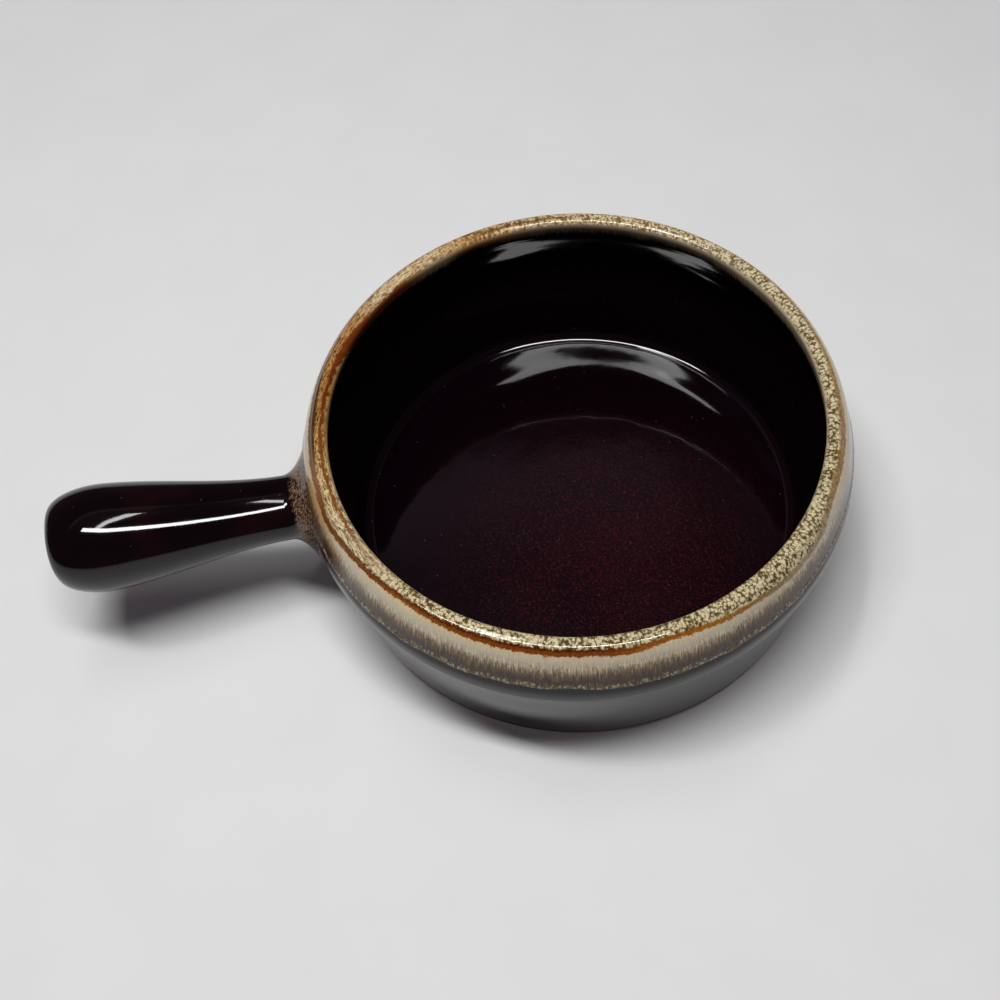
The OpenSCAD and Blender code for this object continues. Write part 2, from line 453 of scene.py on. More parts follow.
@dataclass(frozen=True)
class Glaze:
    """The fired glaze: mottled rim, rust line, cream, streaks, and brown below and inside.

    Its tables hold stops by the heading, apart from the outside band's, which go by the run. Tops, feet,
    edges and ends are runs. A pair holds the two bounds between which one look gives way to the next.
    """

    brown: Colour = srgb(10, 4, 6)
    pooled: Colour = srgb(10, 3, 7)
    red: Colour = srgb(48, 11, 13)
    red_grain: Colour = srgb(92, 27, 28)
    speck: Colour = srgb(150, 128, 124)
    root_dark: Colour = srgb(32, 18, 19)
    root_light: Colour = srgb(138, 108, 84)
    root_tint: Colour = (0.95, 0.66, 0.34, 1.0)
    deep_rust: Colour = srgb(72, 18, 2)
    pale_edge: Colour = srgb(206, 192, 164)
    gloss: float = 0.055
    index: float = 1.45
    swim: float = 0.012
    floor_ring: float = 0.01
    pool_at: tuple[float, float, float] = (6.0, -28.0, 8.0)
    pool_top: tuple[float, float] = (11.5, 8.8)
    root_at: tuple[float, float] = (0.0, 49.0)
    root_reach: tuple[float, float] = (30.0, 21.0)
    root_end: tuple[float, float] = (111.2, 109.4)
    root_foot: tuple[float, float] = (44.5, 48.5)
    root_from: tuple[float, float] = (5.0, 8.5)
    tint_from: tuple[float, float] = (3.5, 5.5)
    collar_from: tuple[float, float] = (103.5, 106.0)
    collar_edge: tuple[float, float] = (21.0, 22.0)
    drip_edge: tuple[float, float] = (21.6, 22.2)
    bead_top: tuple[float, float] = (18.0, 19.6)
    bead_foot: tuple[float, float] = (21.6, 20.8)
    inside_from: tuple[float, float] = (-2.6, -3.8)
    outside_span: tuple[float, float] = (4.0, 26.0)
    outside: Tones = tones(
        (4.0, 218, 196, 154), (6.5, 211, 198, 172), (9.5, 202, 186, 157), (11.5, 157, 136, 105),
        (13.5, 114, 86, 56), (16.0, 77, 49, 26), (18.2, 50, 29, 13), (19.0, 78, 60, 40),
        (20.2, 100, 84, 62), (21.2, 70, 54, 38), (22.0, 20, 12, 10), (26.0, 10, 4, 6))
    # Pale blots of the rim's mottle by heading; the stops about heading 190 to 200 are lifted further with
    # a painted highlight along the rim's near left.
    rim_cream_and_highlight: Tones = tones(
        (0, 222, 208, 168), (38, 226, 213, 176), (95, 224, 200, 154), (104, 214, 172, 108),
        (116, 232, 210, 166), (132, 236, 214, 172), (142, 204, 158, 98), (165, 190, 140, 78),
        (178, 208, 168, 106), (190, 230, 206, 156), (200, 236, 222, 180), (217, 226, 210, 168),
        (270, 218, 205, 163), (360, 222, 208, 168))
    rim_dark: Tones = tones(
        (0, 92, 72, 36), (38, 120, 98, 62), (95, 130, 96, 52), (104, 112, 64, 26), (118, 130, 88, 40),
        (132, 120, 76, 30), (142, 84, 42, 12), (165, 76, 38, 12), (190, 104, 62, 20), (217, 98, 72, 34),
        (235, 88, 68, 32), (360, 92, 72, 36))
    rim_drawn: Levels = ((0, 0.0), (95, 0.0), (122, 0.8), (205, 0.8), (222, 0.0), (360, 0.0))
    line_tone: Tones = tones(
        (0, 150, 116, 66), (60, 162, 102, 32), (110, 140, 68, 14), (150, 116, 62, 22), (164, 64, 34, 12),
        (176, 70, 38, 12), (186, 130, 74, 22), (195, 112, 58, 6), (203, 120, 66, 14), (212, 122, 56, 4),
        (222, 142, 80, 22), (242, 128, 62, 6), (264, 122, 56, 2), (270, 144, 82, 8), (278, 156, 88, 8),
        (290, 154, 102, 28), (300, 136, 96, 34), (308, 144, 112, 62), (320, 146, 116, 76),
        (340, 150, 110, 56), (360, 150, 116, 66))
    line_top: Levels = (
        (0, 1.0), (20, 1.5), (150, 2.0), (160, 1.6), (166, 1.0), (176, 1.2), (184, 2.0), (190, 2.4),
        (195, 4.3), (199, 3.7), (203, 2.6), (212, 2.0), (222, 1.5), (232, 1.8), (252, 2.0), (262, 2.2),
        (270, 3.0), (276, 2.3), (280, 2.4), (286, 3.5), (294, 4.5), (302, 5.6), (310, 6.2), (318, 4.6),
        (323, 2.2), (327, 1.5), (340, 1.4), (355, 0.8), (360, 1.0))
    line_foot: Levels = (
        (0, 2.9), (60, 3.8), (150, 4.2), (186, 4.5), (190, 5.2), (195, 6.2), (199, 5.5), (203, 4.7),
        (212, 3.8), (222, 3.2), (232, 3.8), (242, 4.1), (262, 4.3), (270, 4.9), (276, 3.8), (280, 3.9),
        (286, 4.9), (294, 5.7), (302, 7.4), (310, 8.4), (318, 7.8), (323, 4.8), (327, 4.1), (340, 4.2),
        (355, 2.9), (360, 2.9))
    line_share: Levels = (
        (0, 0.75), (180, 0.9), (230, 1.0), (294, 0.95), (302, 0.85), (312, 0.65), (320, 0.65), (328, 0.8),
        (360, 0.75))
    line_deep: Levels = ((0, 0.0), (190, 0.0), (200, 0.3), (228, 0.9), (262, 0.9), (269, 0.3), (284, 0.0),
                         (360, 0.0))
    inner_tone: Tones = tones(
        (0, 96, 60, 30), (100, 96, 60, 30), (124, 140, 74, 20), (146, 108, 42, 4), (160, 92, 34, 2),
        (180, 118, 58, 10), (217, 132, 70, 18), (360, 96, 60, 30))
    inner_top: Levels = ((0, -0.2), (102, -0.2), (112, -3.0), (138, -3.0), (146, -1.2), (158, -1.2),
                         (170, -0.8), (200, -0.5), (360, -0.2))
    inner_foot: Levels = (
        (0, -0.9), (102, -0.9), (112, -5.0), (123, -7.5), (140, -7.5), (148, -4.5), (154, -2.6),
        (162, -2.0), (170, -1.4), (200, -1.2), (217, -1.0), (360, -0.9))
    inner_share: Levels = ((0, 0.0), (76, 0.0), (82, 0.7), (100, 0.7), (105, 0.0), (119, 0.0),
                           (126, 0.95), (200, 0.9), (217, 0.0), (360, 0.0))
    inside: Tones = tones(
        (0, 226, 206, 172), (32, 224, 204, 170), (42, 168, 152, 130), (90, 160, 140, 114),
        (98, 176, 132, 80), (108, 178, 138, 88), (113, 214, 194, 144), (121, 206, 180, 126),
        (130, 150, 96, 48), (146, 150, 100, 50), (152, 186, 144, 84), (185, 202, 172, 112),
        (250, 216, 196, 152), (360, 226, 206, 172))
    inside_end: Levels = (
        (0, -11.5), (30, -11.5), (42, -9.5), (95, -9.5), (105, -7.5), (112, -10.0), (122, -10.0),
        (130, -9.0), (150, -8.0), (190, -8.0), (217, -9.0), (300, -10.5), (360, -11.5))
    by_handle: Levels = ((0, 0.0), (160, 0.0), (172, 0.7), (192, 0.85), (198, 0.35), (205, 0.0), (360, 0.0))

    def brown_glass(self, graph: CoatGraph, coat: Coat) -> Socket:
        """The brown glaze, nearly black and finely specked.

        Args:
            graph: The coat's graph.
            coat: Which coat it is.

        Returns:
            The colour.
        """
        patches = graph.ease(graph.cloud(graph.spot, 30.0), 0.5, 0.75, 0.0, 0.35)
        base = graph.blend(patches, self.brown, self.red)
        if coat is Coat.LINER:
            base = graph.blend(graph.ease(graph.split(graph.spot)[2], *self.pool_top), self.brown,
                               self.pool(graph))
        dots = graph.ease(graph.cells(graph.spot, 2.4), 0.09, 0.05)
        chosen = graph.ease(graph.cloud(graph.spot, 3.1, 0.0), 0.64, 0.68)
        return graph.blend(graph.times(dots, chosen, 0.5), base, self.speck)

    def pool(self, graph: CoatGraph) -> Socket:
        """The redder, grainy brown where the glaze pooled on the floor.

        Args:
            graph: The coat's graph.

        Returns:
            The colour.
        """
        off = graph.length(graph.vector("SUBTRACT", graph.spot, self.pool_at))
        patches = graph.ease(graph.cloud(graph.spot, 40.0, 3.0), 0.3, 0.62)
        wash = graph.times(graph.ease(off, 78.0, 12.0), patches)
        grain = graph.ease(graph.cloud(graph.spot, 0.42, 1.0), 0.57, 0.72, 0.0, 0.7)
        reddened = graph.blend(graph.times(wash, 0.2), self.pooled, self.red)
        return graph.blend(graph.times(grain, graph.ease(off, 95.0, 25.0)), reddened, self.red_grain)

    def rim_top(self, graph: CoatGraph) -> Socket:
        """The rim's mottled top: cream blots in olive, and drawn-out golden grain towards the handle; about
        heading 195 the cream blots are lightened further with a painted highlight.

        Args:
            graph: The coat's graph.

        Returns:
            The colour.
        """
        flat = graph.unrolled(1.15)
        stir = graph.node("ShaderNodeTexNoise", {"Vector": flat, "Scale": 1 / 1.1}).outputs["Color"]
        blots = graph.cells(graph.vector("ADD", flat, graph.scaled(stir, 1.5)), 1.1)
        grain = graph.sway(flat, 0.32, 1.0)
        patched = graph.plus(blots, graph.sway(flat, 3.6), 0.5)
        mottle = graph.ease(graph.plus(patched, grain, 0.9), 0.72, 0.34)
        drawn = graph.cloud(graph.unrolled(0.8, 5.0), 0.6, 3.0, 0.7)
        lines = graph.ease(graph.plus(drawn, grain, 0.35), 0.4, 0.58)
        share = graph.plus(mottle, graph.minus(lines, mottle), graph.amount(self.rim_drawn))
        # the pale tone carries a painted highlight about heading 195
        return graph.blend(share, graph.tone(self.rim_dark), graph.tone(self.rim_cream_and_highlight))

    def outside_band(self, graph: CoatGraph) -> Socket:
        """The outside below the rust line: cream, dark streaks, and pale beads along the drip's edge.

        Args:
            graph: The coat's graph.

        Returns:
            The colour.
        """
        run = graph.run
        fading = graph.times(graph.ease(run, 7.5, 13.0), graph.ease(run, 19.6, 18.4))
        jitter = graph.times(graph.fine, 10.0, fading)
        waved = graph.plus(run, graph.plus(jitter, graph.broad, graph.ease(run, 19.0, 17.0, 0.0, 1.8)))
        band = graph.ramp(waved, self.outside, self.outside_span)

        streak = graph.sway(graph.unrolled(8.0), 0.45, roughness=0.7)
        drawn = graph.plus(1.0, streak, graph.ease(run, 7.0, 11.5, 0.5, 4.2))
        level = graph.plus(drawn, graph.grain, graph.ease(run, 4.0, 12.0, 0.5, 1.2))
        textured = graph.scaled(band, graph.math("MAXIMUM", level, 0.2))

        beads = graph.ease(graph.cells(graph.unrolled(1.7), 1.1), 0.5, 0.22)
        edge = graph.times(graph.ease(run, *self.bead_top), graph.ease(run, *self.bead_foot))
        return graph.blend(graph.times(beads, edge, 0.55), textured, self.pale_edge)

    def inside_band(self, graph: CoatGraph, brown: Socket) -> Socket:
        """The thin drip inside the rim, which runs out into the brown in streaks.

        Args:
            graph: The coat's graph.
            brown: The brown glaze's colour.

        Returns:
            The colour.
        """
        streaks = graph.times(graph.fine, graph.ease(graph.run, -4.5, -8.0, 0.5, 7.0))
        depth = graph.plus(streaks, graph.broad, 2.5)
        above_end = graph.minus(graph.plus(graph.run, depth), graph.amount(self.inside_end))
        return graph.blend(graph.ease(above_end, 0.0, 5.5), brown, graph.tone(self.inside))

    def within(self, graph: CoatGraph, top: Socket, foot: Socket, soft: float) -> Socket:
        """How far the ragged run lies between two others.

        Args:
            graph: The coat's graph.
            top: The run where the line begins.
            foot: The run where it ends, on the side of larger runs.
            soft: Half the width of its soft ends.

        Returns:
            The share, 0 to 1.
        """
        past_top = graph.ease(graph.minus(graph.ragged, top), -2 * soft, 0.0)
        past_foot = graph.ease(graph.minus(graph.ragged, foot), 0.0, 2 * soft)
        return graph.minus(past_top, past_foot)

    def rust_line(self, graph: CoatGraph, top: Socket) -> Socket:
        """The rust line's grainy colour, darker along its top at the near side.

        Args:
            graph: The coat's graph.
            top: The run where the line begins.

        Returns:
            The colour.
        """
        near_top = graph.ease(graph.minus(graph.ragged, top), 1.1, 0.2)
        deep = graph.times(near_top, graph.amount(self.line_deep))
        tone = graph.blend(deep, graph.tone(self.line_tone), self.deep_rust)
        return graph.scaled(tone, graph.plus(1.0, graph.grain, 2.4))

    def root_streaks(self, graph: CoatGraph) -> Socket:
        """The red-brown streaks over the handle's root, which lie slanted.

        Args:
            graph: The coat's graph.

        Returns:
            The colour.
        """
        slanted = graph.node("ShaderNodeMapping", {"Vector": graph.spot, "Scale": (2.6, 1.0, 1.5),
                                                   "Rotation": (0.0, 0.0, math.radians(50))},
                             vector_type="TEXTURE").outputs[0]
        share = graph.ease(graph.cloud(slanted, 0.55, roughness=0.65), 0.43, 0.6)
        return graph.blend(share, self.root_dark, self.root_light)

    def by_root(self, graph: CoatGraph) -> tuple[Socket, Socket]:
        """How far a place belongs to the handle's root.

        Args:
            graph: The coat's graph.

        Returns:
            Its share on the wall, and its share out along the stick.
        """
        parts = graph.split(graph.spot)
        rough = graph.sway(graph.vector("MULTIPLY", graph.spot, (0.2, 1.0, 0.6)), 1.4, 3.0, 0.6)
        wide, high = (graph.times(graph.minus(part, middle), 1 / reach)
                      for part, middle, reach in zip(parts[1:], self.root_at, self.root_reach))
        off = graph.math("SQRT", graph.plus(graph.times(high, high), wide, wide))
        west = graph.math("LESS_THAN", parts[0], 0.0)
        on_wall = graph.times(west, graph.ease(graph.plus(off, rough, 0.5), 1.2, 0.75))
        reach = graph.plus(graph.times(parts[0], -1.0), rough, 5.0)
        upper = graph.ease(graph.plus(parts[2], rough, 4.0), *self.root_foot)
        return on_wall, graph.times(graph.ease(reach, *self.root_end), upper)

    def colour(self, graph: CoatGraph, coat: Coat) -> Socket:
        """The glaze's colour at every run and heading.

        Args:
            graph: The coat's graph.
            coat: Which coat it is.

        Returns:
            The colour.
        """
        brown = self.brown_glass(graph, coat)
        top, foot = graph.amount(self.line_top), graph.amount(self.line_foot)
        past_line = graph.ease(graph.minus(graph.ragged, foot), -0.9, 0.5)
        colour = graph.blend(past_line, self.rim_top(graph), self.outside_band(graph))
        line = graph.times(self.within(graph, top, foot, 0.25), graph.amount(self.line_share))
        colour = graph.blend(line, colour, self.rust_line(graph, top))

        past_crest = graph.ease(graph.ragged, *self.inside_from)
        colour = graph.blend(past_crest, colour, self.inside_band(graph, brown))
        inner = self.within(graph, graph.amount(self.inner_foot), graph.amount(self.inner_top), 0.3)
        colour = graph.blend(graph.times(inner, graph.amount(self.inner_share)), colour,
                             graph.tone(self.inner_tone))
        tinted = graph.times(graph.amount(self.by_handle), graph.ease(graph.ragged, *self.tint_from))
        colour = graph.blend(tinted, colour, self.root_tint, "MULTIPLY")

        on_wall, along_stick = self.by_root(graph)
        streaks = self.root_streaks(graph)
        if coat is Coat.COLLAR:
            colour = graph.blend(graph.ease(graph.run, *self.collar_edge), colour, brown)
            off_wall = graph.ease(graph.times(graph.split(graph.spot)[0], -1.0), *self.collar_from)
            rooted = graph.blend(along_stick, brown, streaks)
            return graph.blend(off_wall, graph.blend(graph.times(along_stick, 0.8), colour, rooted), rooted)
        beyond_line = graph.times(graph.ease(graph.ragged, *self.root_from), 0.85)
        colour = graph.blend(graph.times(on_wall, beyond_line), colour, streaks)
        return graph.blend(graph.ease(graph.run, *self.drip_edge), colour, brown)

    def material(self, coat: Coat) -> bpy.types.Material:
        """Makes the finish of one coat.

        Args:
            coat: Which coat it is.

        Returns:
            The material.
        """
        graph = CoatGraph(coat.value)
        plain = coat in (Coat.HANDLE, Coat.OUTER)
        colour = self.brown_glass(graph, coat) if plain else self.colour(graph, coat)
        normal = graph.bump(graph.cloud(graph.spot, 5.0), self.swim)
        if coat is Coat.LINER:
            radius = graph.length(graph.vector("MULTIPLY", graph.spot, (1.0, 1.0, 0.0)))
            rings = graph.cloud(graph.join(radius, 0.0, 0.0), 5.0, 1.0)
            normal = graph.bump(rings, self.floor_ring, normal)
        wet = graph.ease(graph.cloud(graph.spot, 9.0), 0.3, 0.7, self.gloss * 0.8, self.gloss * 1.25)
        return graph.finish(Base_Color=colour, Roughness=wet, IOR=self.index, Normal=normal)


@dataclass(frozen=True)
class BareClay:
    """Unglazed fired clay: buff, matt and sandy."""

    name: str
    light: Colour = srgb(206, 184, 150)
    dark: Colour = srgb(166, 138, 104)
    grit: Colour = srgb(96, 70, 48)
    roughness: float = 0.85
    index: float = 1.45
    grain: float = 0.05

    def material(self) -> bpy.types.Material:
        """Makes the finish, with patches, scattered grit and a sandy grain.

        Returns:
            The material.
        """
        graph = Graph(bpy.data.materials.new(self.name))
        place = graph.place()
        tone = graph.blend(graph.cloud(place, 12.0, 4.0, 0.6), self.light, self.dark)
        grit = graph.times(graph.ease(graph.cells(place, 1.8), 0.16, 0.08),
                           graph.ease(graph.cloud(place, 2.4, 0.0), 0.52, 0.58))
        normal = graph.bump(graph.cloud(place, 0.6, 4.0, 0.7), self.grain)
        return graph.finish(Base_Color=graph.blend(grit, tone, self.grit), Roughness=self.roughness,
                            IOR=self.index, Normal=normal)


class Piece:
    """A mesh in the making: its outline is swept by operators, then it is dressed and set on the frame."""

    def __init__(self, name: str) -> None:
        """Starts an empty mesh.

        Args:
            name: The piece's name.
        """
        self.name = name
        self.mesh = bmesh.new()
        self.runs = self.mesh.verts.layers.float.new(RUN)

    def spin(self, outline: Outline, steps: int, closed: bool = True) -> None:
        """Turns an outline about the bowl's axis.

        Args:
            outline: Points in the XZ plane, each with its run.
            steps: Steps in the full turn.
            closed: Whether the outline is a ring, which makes a closed shell.
        """
        corners = []
        for point, run in outline:
            corner = self.mesh.verts.new((point.x, 0.0, point.y))
            corner[self.runs] = run
            corners.append(corner)
        sides = [self.mesh.edges.new(pair) for pair in zip(corners, corners[1:])]
        if closed:
            sides.append(self.mesh.edges.new((corners[-1], corners[0])))
        bmesh.ops.spin(self.mesh, geom=corners + sides, cent=(0, 0, 0), axis=(0, 0, 1), dvec=(0, 0, 0),
                       angle=math.tau, steps=steps, use_merge=True, use_duplicate=False)
        bmesh.ops.remove_doubles(self.mesh, verts=self.mesh.verts, dist=MERGE)

    def loft(self, stations: Sequence[Station], sides: int) -> list[bmesh.types.BMVert]:
        """Extrudes a ring through stations.

        Args:
            stations: Each gives a vertex's place and run by its number round the ring.
            sides: Vertices in the ring.

        Returns:
            The last ring.
        """
        def settle(ring: Sequence[bmesh.types.BMVert], station: Station) -> None:
            """Sets each vertex of a ring at its station."""
            for k, vertex in enumerate(ring):
                vertex.co, vertex[self.runs] = station(k)

        ring = bmesh.ops.create_circle(self.mesh, cap_ends=False, segments=sides, radius=1.0)["verts"]
        settle(ring, stations[0])
        for station in stations[1:]:
            edges = [self.mesh.edges.get((ring[k - 1], ring[k])) for k in range(sides)]
            made = bmesh.ops.extrude_edge_only(self.mesh, edges=edges)["geom"]
            fresh = {v for v in made if isinstance(v, bmesh.types.BMVert)}
            ring = [next(e.other_vert(v) for e in v.link_edges if e.other_vert(v) in fresh) for v in ring]
            settle(ring, station)
        return ring

    def close(self) -> None:
        """Turns all faces outwards, once the doubles are merged."""
        bmesh.ops.recalc_face_normals(self.mesh, faces=self.mesh.faces)

    def shape(self, move: Callable[[Vector, float], Vector]) -> None:
        """Moves every vertex to where a rule sends its place and run."""
        for vertex in self.mesh.verts:
            vertex.co = move(vertex.co, vertex[self.runs])

    def make(self, material: bpy.types.Material, nodes: Sequence[str],
             crease: float = 35.0) -> None:
        """Makes the object, dresses it and sets it on the frame.

        Args:
            material: Its finish.
            nodes: The frame's nodes that it stands for.
            crease: The angle in degrees past which an edge stays sharp.
        """
        for face in self.mesh.faces:
            face.smooth = True
        for edge in self.mesh.edges:
            edge.smooth = len(edge.link_faces) != 2 or edge.calc_face_angle(0.0) < math.radians(crease)
        data = bpy.data.meshes.new(self.name)
        self.mesh.to_mesh(data)
        self.mesh.free()
        data.materials.append(material)
        made = bpy.data.objects.new(self.name, data)
        bpy.context.scene.collection.objects.link(made)
        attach(made, BODY)
        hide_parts(*nodes)
        LOG.info("%s: %d faces", self.name, len(data.polygons))


@dataclass
class Bowl:
    """The thrown bowl: its sizes, and the glaze coats and foot ring made from them."""

    glaze: Glaze
    height: float = field(default_factory=lambda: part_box("rim_drip_glaze")[1].z)
    belly_r: float = field(default_factory=lambda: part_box("outer_glaze")[1].x)
    foot_h: float = field(default_factory=lambda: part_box("foot_ring")[1].z)
    foot_r: float = field(default_factory=lambda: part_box("foot_ring")[1].x)
    foot_in_r: float = field(default_factory=lambda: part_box("base_glaze")[1].x)
    under_floor: float = field(default_factory=lambda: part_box("liner_glaze")[0].z)
    belly_drop: float = 25.5 * MM
    mouth_in: float = 10.0 * MM
    rim_t: float = 5.8 * MM
    rim_power: float = 2.8
    rim_arc: tuple[float, float] = (30.0, 180.0)
    waist_in: float = 3.6 * MM
    waist_drop: float = 9.0 * MM
    base_in: float = 8.8 * MM
    lower_swell: float = 0.6 * MM
    roll_shares: Levels = ((0.33, 0.28), (0.61, 0.72), (0.83, 0.94))
    shoulder_shares: Levels = ((0.168, 0.043), (0.314, 0.187), (0.545, 0.375), (0.755, 0.55), (0.92, 0.78))
    throat_shares: Levels = ((0.234, 0.15), (0.55, 0.56), (0.82, 0.9))
    belly_wall: float = 9.0 * MM
    wall_t: float = 5.8 * MM
    base_wall: float = 8.2 * MM
    corner_r: float = 6.0 * MM
    corner_arc: tuple[float, float] = (-10.0, -90.0)
    glaze_t: float = 0.5 * MM
    drip_rise: float = 0.35 * MM
    drip_out: float = 19.0 * MM
    drip_in: float = 11.0 * MM
    drip_sink: float = 0.03 * MM
    drip_fade: float = 12.0 * MM
    drip_lip: float = 0.5 * MM
    lap: float = 3.0 * MM
    bead_l: float = 2.2 * MM
    bead_rise: float = 0.25 * MM
    edge_wave: float = 1.1 * MM
    edge_reach: float = 9.0 * MM
    edge_noises: Levels = ((7.0, 1.0), (26.0, 0.6), (70.0, 0.35))
    ripple: float = 0.04 * MM
    ripple_share: float = 0.9
    ripple_end: float = -60.0 * MM
    ripple_noises: Levels = ((48.0, 1.0), (110.0, 0.5))
    lip_h: float = 0.8 * MM
    base_curl: float = 0.35 * MM
    curl_power: int = 14
    foot_bevel: float = 0.8 * MM
    steps: int = 288
    rim_steps: int = 36
    curve_steps: int = 8
    corner_steps: int = 14
    floor_rings: int = 22
    base_rings: int = 24
    bevel_steps: int = 6

    def __post_init__(self) -> None:
        """Draws the glazed skin as one line from the foot, over the rim, to the floor's middle."""
        self.belly_z = self.height - self.belly_drop
        self.waist_z = self.belly_z - self.waist_drop
        self.mouth_r = self.belly_r - self.mouth_in
        self.waist_r = self.belly_r - self.waist_in
        self.base_r = self.belly_r - self.base_in
        self.rim_z = self.height - self.drip_rise - self.rim_t / 2
        self.floor_z = self.under_floor + self.glaze_t
        self.line = self.skin_line()
        crest = max(range(len(self.line)),
                    key=lambda i: (self.line[i].y, -abs(self.line[i].x - self.mouth_r)))
        paths = [0.0]
        for before, after in zip(self.line, self.line[1:]):
            paths.append(paths[-1] + (after - before).length)
        self.run = [paths[crest] - path for path in paths]
        self.wall = self.line[1:crest + 1]

    def skin_line(self) -> list[Vector]:
        """Draws the skin from the foot to the middle of the floor.

        Returns:
            Its points as (radius, height).
        """
        rim = self.rim_line()
        base = Vector((self.base_r, self.foot_h + self.lip_h))
        waist = Vector((self.waist_r, self.waist_z))
        belly = Vector((self.belly_r, self.belly_z))
        swell = (base + waist) / 2 + Vector((self.lower_swell, 0))
        roll = self.shared(waist, belly, self.roll_shares)
        shoulder = self.shared(belly, rim[0], self.shoulder_shares)
        outer = smooth_curve([base, swell, waist, *roll, belly, *shoulder, rim[0]], self.curve_steps)

        corner_z = self.floor_z + self.corner_r
        inner_belly = Vector((self.belly_r - self.belly_wall, self.belly_z))
        inner_waist = Vector((self.waist_r - self.wall_t, self.waist_z))
        inner_base = Vector((self.radius_on(outer, corner_z) - self.base_wall, corner_z))
        throat = self.shared(rim[-1], inner_belly, self.throat_shares)
        middle = (inner_waist + inner_base) / 2
        inner = smooth_curve([rim[-1], *throat, inner_belly, inner_waist, middle, inner_base],
                             self.curve_steps)
        corner = arc(inner_base - Vector((self.corner_r, 0)), self.corner_r, *self.corner_arc,
                     self.corner_steps)
        floor = [Vector((corner[-1].x * (1 - k / self.floor_rings), self.floor_z))
                 for k in range(1, self.floor_rings + 1)]
        return [Vector((self.base_r, self.foot_h)), *outer[:-1], *rim, *inner[1:], *corner, *floor]

    def rim_line(self) -> list[Vector]:
        """Draws the rim's squarish round.

        Returns:
            Its points as (radius, height), from outside to inside.
        """
        half = self.rim_t / 2
        return [Vector((self.mouth_r + half * squared(math.cos(turn), self.rim_power),
                        self.rim_z + half * squared(math.sin(turn), self.rim_power)))
                for turn in headings(*self.rim_arc, self.rim_steps)]

    @staticmethod
    def shared(start: Vector, end: Vector, shares: Levels) -> list[Vector]:
        """Points between two places, by shares of the height and of the radius."""
        return [Vector((start.x + (end.x - start.x) * out, start.y + (end.y - start.y) * up))
                for up, out in shares]

    @staticmethod
    def radius_on(curve: Sequence[Vector], height: float) -> float:
        """The radius of a rising curve at a height.

        Args:
            curve: The curve's points as (radius, height).
            height: The height.

        Returns:
            The radius, or that of the curve's end where the height is off the curve.
        """
        for low, high in zip(curve, curve[1:]):
            if low.y <= height <= high.y:
                return low.x + (high.x - low.x) * (height - low.y) / (high.y - low.y)
        return curve[-1].x

    def radius(self, height: float) -> float:
        """The outer wall's radius at a height."""
        return self.radius_on(self.wall, height)

    def normal(self, i: int) -> Vector:
        """The skin's outward direction at one of its points."""
        way = self.line[min(i + 1, len(self.line) - 1)] - self.line[max(i - 1, 0)]
        return Vector((way.y, -way.x)).normalized()

    def run_at(self, height: float, inside: bool = False) -> float:
        """The run of the skin at a height of the wall."""
        spots = [i for i, run in enumerate(self.run) if (run < 0) == inside]
        return self.run[min(spots, key=lambda i: abs(self.line[i].y - height))]

    def shell(self, first: float, last: float, rise: Callable[[float], float], bed: float) -> Outline:
        """The closed outline of a coat between two runs.

        Args:
            first: The run at its lower edge outside.
            last: The run at its other edge.
            rise: How far the coat stands proud of the skin, by the run.
            bed: How far its under side lies inside the skin.

        Returns:
            The outline's points, each with its run.
        """
        spots = [i for i, run in enumerate(self.run) if last <= run <= first]
        top = [(self.line[i] + self.normal(i) * rise(self.run[i]), self.run[i]) for i in spots]
        under = [(self.line[i] - self.normal(i) * bed, self.run[i]) for i in reversed(spots)]
        return top + under

    def rippled(self, place: Vector, run: float) -> Vector:
        """Lets the surface swim a little, as a hand-dipped glaze does: sideways on the wall, else upwards.

        Args:
            place: A vertex's place.
            run: Its run.

        Returns:
            The place it moves to.
        """
        level = sum(share * noise.noise(place * size) for size, share in self.ripple_noises)
        across = Vector((place.x, place.y, 0.0))
        out = across.normalized() if across.length > 0 else Vector()
        on_wall = abs(run) < self.run[0] * self.ripple_share and run > self.ripple_end
        return place + (out if on_wall else Vector((0, 0, 1))) * self.ripple * level

    def liner_glaze(self) -> None:
        """The brown coat inside, up to under the drip glaze."""
        edge = self.run_at(self.height - self.drip_in, inside=True)
        piece = Piece("liner_glaze_coat")
        piece.spin(self.shell(edge + self.lap, self.run[-1], lambda run: 0.0, self.glaze_t), self.steps)
        piece.shape(self.rippled)
        piece.close()
        piece.make(self.glaze.material(Coat.LINER), ["liner_glaze"])

    def outer_glaze(self) -> None:
        """The brown coat on the lower wall, up to under the drip glaze."""
        edge = self.run_at(self.height - self.drip_out)
        piece = Piece("outer_glaze_coat")
        piece.spin(self.shell(self.run[0], edge - self.lap, lambda run: 0.0, self.glaze_t), self.steps)
        piece.close()
        piece.make(self.glaze.material(Coat.OUTER), ["outer_glaze"])

    def rim_drip_glaze(self) -> None:
        """The cream coat over the rim, with a wavy beaded edge outside."""
        out_run = self.run_at(self.height - self.drip_out)
        in_run = self.run_at(self.height - self.drip_in, inside=True)
        lowest = self.height - self.drip_out - 2 * self.edge_wave

        def rise(run: float) -> float:
            """How proud the coat stands: thinned out inside, beaded and rounded at its edge outside.

            Args:
                run: The run.

            Returns:
                Its rise above the skin.
            """
            fade = eased((run - in_run) / self.drip_fade)
            bead = max(0.0, 1 - ((out_run - self.bead_l / 2 - run) / (self.bead_l / 2)) ** 2)
            lip = min(1.0, max(0.0, (out_run - run) / self.drip_lip))
            proud = (self.drip_rise * fade + self.bead_rise * math.sqrt(bead)) * math.sqrt(lip)
            return proud - self.drip_sink * (1 - fade)

